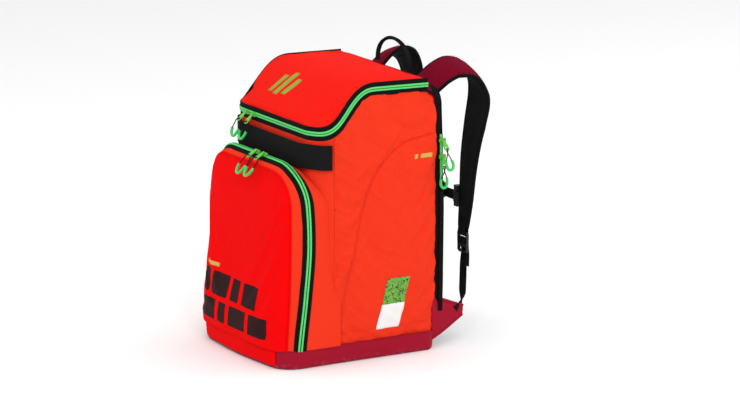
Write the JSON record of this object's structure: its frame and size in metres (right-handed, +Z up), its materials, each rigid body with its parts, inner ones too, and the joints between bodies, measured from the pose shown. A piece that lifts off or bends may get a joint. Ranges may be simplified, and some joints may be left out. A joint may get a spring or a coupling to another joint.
{
  "type": "ski boot bag",
  "caption": "Backpack-style ski boot bag with a domed zip lid, a hinged front pocket, padded shoulder straps, a grab band and corded zip pulls.",
  "frame": {"origin": "middle of the base of the main compartment, on the floor", "axes": "+Z up, -Y out of the front pocket, +Y towards the wearer's back, +X to the right seen from the front"},
  "size_m": [0.3515, 0.468, 0.558],
  "materials": {
    "front_fabric": "bright red woven polyester",
    "side_fabric": "orange-red woven polyester",
    "base_coating": "dark red coated tarpaulin",
    "strap_fabric": "dark red woven polyester, black mesh lining and binding",
    "mesh": "black spacer mesh over foam",
    "webbing": "black woven webbing",
    "zip_tape": "black tape with a green coil",
    "board": "polyethylene sheet",
    "hardware": "black moulded acetal",
    "slider_metal": "green painted zinc",
    "grip_plastic": "green moulded plastic",
    "cord": "black braided cord",
    "label": "woven patch"
  },
  "bodies": {
    "bag": {"base_tub": "base_coating", "base_board": "board", "front_panel": "front_fabric", "side_front_panel_right": "side_fabric", "side_rear_panel_right": "side_fabric", "side_front_panel_left": "side_fabric", "side_rear_panel_left": "side_fabric", "back_panel": "side_fabric", "back_pad": "mesh", "frame_sheet": "board", "yoke": "strap_fabric", "lid_zip_lower": "zip_tape", "pocket_gusset": "side_fabric", "pocket_zip_rear": "zip_tape", "grab_band": "webbing", "shoulder_strap_right": "strap_fabric", "shoulder_strap_left": "strap_fabric", "lower_web_right": "webbing", "lower_web_left": "webbing", "wing_right": "base_coating", "wing_left": "base_coating", "side_zip": "zip_tape", "side_label": "label"},
    "lid": {"lid_panel": "front_fabric", "lid_zip_upper": "zip_tape"},
    "door": {"door_panel": "front_fabric", "door_zip_front": "zip_tape"},
    "handle": {"carry_handle": "webbing"},
    "lock_right": {"ladder_lock_right": "hardware"},
    "lock_left": {"ladder_lock_left": "hardware"},
    "sternum": {"sternum_clip_right": "hardware", "sternum_clip_left": "hardware", "sternum_web_right": "webbing", "sternum_web_left": "webbing", "buckle_socket": "hardware"},
    "plug": {"buckle_plug": "hardware"},
    "slider_lid_left": {"slider_lid_left": "slider_metal"},
    "tab_lid_left": {"tab_lid_left": "slider_metal"},
    "pull_lid_left": {"cord_lid_left": "cord", "grip_lid_left": "grip_plastic"},
    "slider_lid_right": {"slider_lid_right": "slider_metal"},
    "tab_lid_right": {"tab_lid_right": "slider_metal"},
    "pull_lid_right": {"cord_lid_right": "cord", "grip_lid_right": "grip_plastic"},
    "slider_door_left": {"slider_door_left": "slider_metal"},
    "tab_door_left": {"tab_door_left": "slider_metal"},
    "pull_door_left": {"cord_door_left": "cord", "grip_door_left": "grip_plastic"},
    "slider_door_right": {"slider_door_right": "slider_metal"},
    "tab_door_right": {"tab_door_right": "slider_metal"},
    "pull_door_right": {"cord_door_right": "cord", "grip_door_right": "grip_plastic"},
    "slider_side_upper": {"slider_side_upper": "slider_metal"},
    "tab_side_upper": {"tab_side_upper": "slider_metal"},
    "pull_side_upper": {"cord_side_upper": "cord", "grip_side_upper": "grip_plastic"},
    "slider_side_lower": {"slider_side_lower": "slider_metal"},
    "tab_side_lower": {"tab_side_lower": "slider_metal"},
    "pull_side_lower": {"cord_side_lower": "cord", "grip_side_lower": "grip_plastic"}
  },
  "joints": [
    {"name": "lid_hinge", "type": "hinge", "parent": "bag", "child": "lid", "pos_m": [0, 0.131, 0.50905], "axis": [-1, 0, 0], "range_deg": [0, 75]},
    {"name": "door_hinge", "type": "hinge", "parent": "bag", "child": "door", "pos_m": [0, -0.1801, 0.0344], "axis": [1, 0, 0], "range_deg": [0, 88]},
    {"name": "handle_hinge", "type": "hinge", "parent": "bag", "child": "handle", "pos_m": [0, 0.15, 0.507], "axis": [-1, 0, 0], "range_deg": [-40, 55]},
    {"name": "lock_right_tilt", "type": "hinge", "parent": "bag", "child": "lock_right", "pos_m": [0.101, 0.24, 0.198], "axis": [1, 0, 0], "range_deg": [-12, 25]},
    {"name": "lock_left_tilt", "type": "hinge", "parent": "bag", "child": "lock_left", "pos_m": [-0.101, 0.24, 0.198], "axis": [1, 0, 0], "range_deg": [-12, 25]},
    {"name": "sternum_height", "type": "slide", "parent": "bag", "child": "sternum", "axis": [0, 0.09, 0.9959], "range_m": [-0.01, 0.01]},
    {"name": "buckle_release", "type": "slide", "parent": "sternum", "child": "plug", "axis": [1, 0, 0], "range_m": [0, 0.022]},
    {"name": "slider_lid_left_slide", "type": "slide", "parent": "lid", "child": "slider_lid_left", "axis": [1, 0, 0], "range_m": [-0.01, 0]},
    {"name": "tab_lid_left_swing", "type": "hinge", "parent": "slider_lid_left", "child": "tab_lid_left", "pos_m": [-0.094, -0.1094, 0.428], "axis": [-1, 0, 0], "range_deg": [-10, 80]},
    {"name": "pull_lid_left_swing", "type": "hinge", "parent": "tab_lid_left", "child": "pull_lid_left", "pos_m": [-0.094, -0.12203, 0.41662], "axis": [-1, 0, 0], "range_deg": [-4, 12]},
    {"name": "slider_lid_right_slide", "type": "slide", "parent": "lid", "child": "slider_lid_right", "axis": [1, 0, 0], "range_m": [0, 0.165]},
    {"name": "tab_lid_right_swing", "type": "hinge", "parent": "slider_lid_right", "child": "tab_lid_right", "pos_m": [-0.068, -0.1094, 0.428], "axis": [-1, 0, 0], "range_deg": [-8, 80]},
    {"name": "pull_lid_right_swing", "type": "hinge", "parent": "tab_lid_right", "child": "pull_lid_right", "pos_m": [-0.068, -0.12121, 0.41577], "axis": [-1, 0, 0], "range_deg": [-4, 12]},
    {"name": "slider_door_left_slide", "type": "slide", "parent": "door", "child": "slider_door_left", "axis": [1, 0, 0], "range_m": [-0.085, 0]},
    {"name": "tab_door_left_swing", "type": "hinge", "parent": "slider_door_left", "child": "tab_door_left", "pos_m": [0.002, -0.1394, 0.37793], "axis": [-1, 0, 0], "range_deg": [0, 80]},
    {"name": "pull_door_left_swing", "type": "hinge", "parent": "tab_door_left", "child": "pull_door_left", "pos_m": [0.002, -0.15412, 0.36943], "axis": [-1, 0, 0], "range_deg": [0, 12]},
    {"name": "slider_door_right_slide", "type": "slide", "parent": "door", "child": "slider_door_right", "axis": [1, 0, 0], "range_m": [0, 0.055]},
    {"name": "tab_door_right_swing", "type": "hinge", "parent": "slider_door_right", "child": "tab_door_right", "pos_m": [0.03, -0.1394, 0.37793], "axis": [-1, 0, 0], "range_deg": [0, 80]},
    {"name": "pull_door_right_swing", "type": "hinge", "parent": "tab_door_right", "child": "pull_door_right", "pos_m": [0.03, -0.15441, 0.36995], "axis": [-1, 0, 0], "range_deg": [0, 12]},
    {"name": "slider_side_upper_slide", "type": "slide", "parent": "bag", "child": "slider_side_upper", "axis": [0, 0, 1], "range_m": [0, 0.006]},
    {"name": "tab_side_upper_swing", "type": "hinge", "parent": "slider_side_upper", "child": "tab_side_upper", "pos_m": [0.1614, 0.161, 0.392], "axis": [0, -1, 0], "range_deg": [-6, 80]},
    {"name": "pull_side_upper_swing", "type": "hinge", "parent": "tab_side_upper", "child": "pull_side_upper", "pos_m": [0.17321, 0.161, 0.37977], "axis": [0, -1, 0], "range_deg": [-4, 12]},
    {"name": "slider_side_lower_slide", "type": "slide", "parent": "bag", "child": "slider_side_lower", "axis": [0, 0, 1], "range_m": [-0.24, 0]},
    {"name": "tab_side_lower_swing", "type": "hinge", "parent": "slider_side_lower", "child": "tab_side_lower", "pos_m": [0.1614, 0.161, 0.362], "axis": [0, -1, 0], "range_deg": [-6, 20]},
    {"name": "pull_side_lower_swing", "type": "hinge", "parent": "tab_side_lower", "child": "pull_side_lower", "pos_m": [0.16551, 0.161, 0.3455], "axis": [0, -1, 0], "range_deg": [-4, 12]}
  ]
}
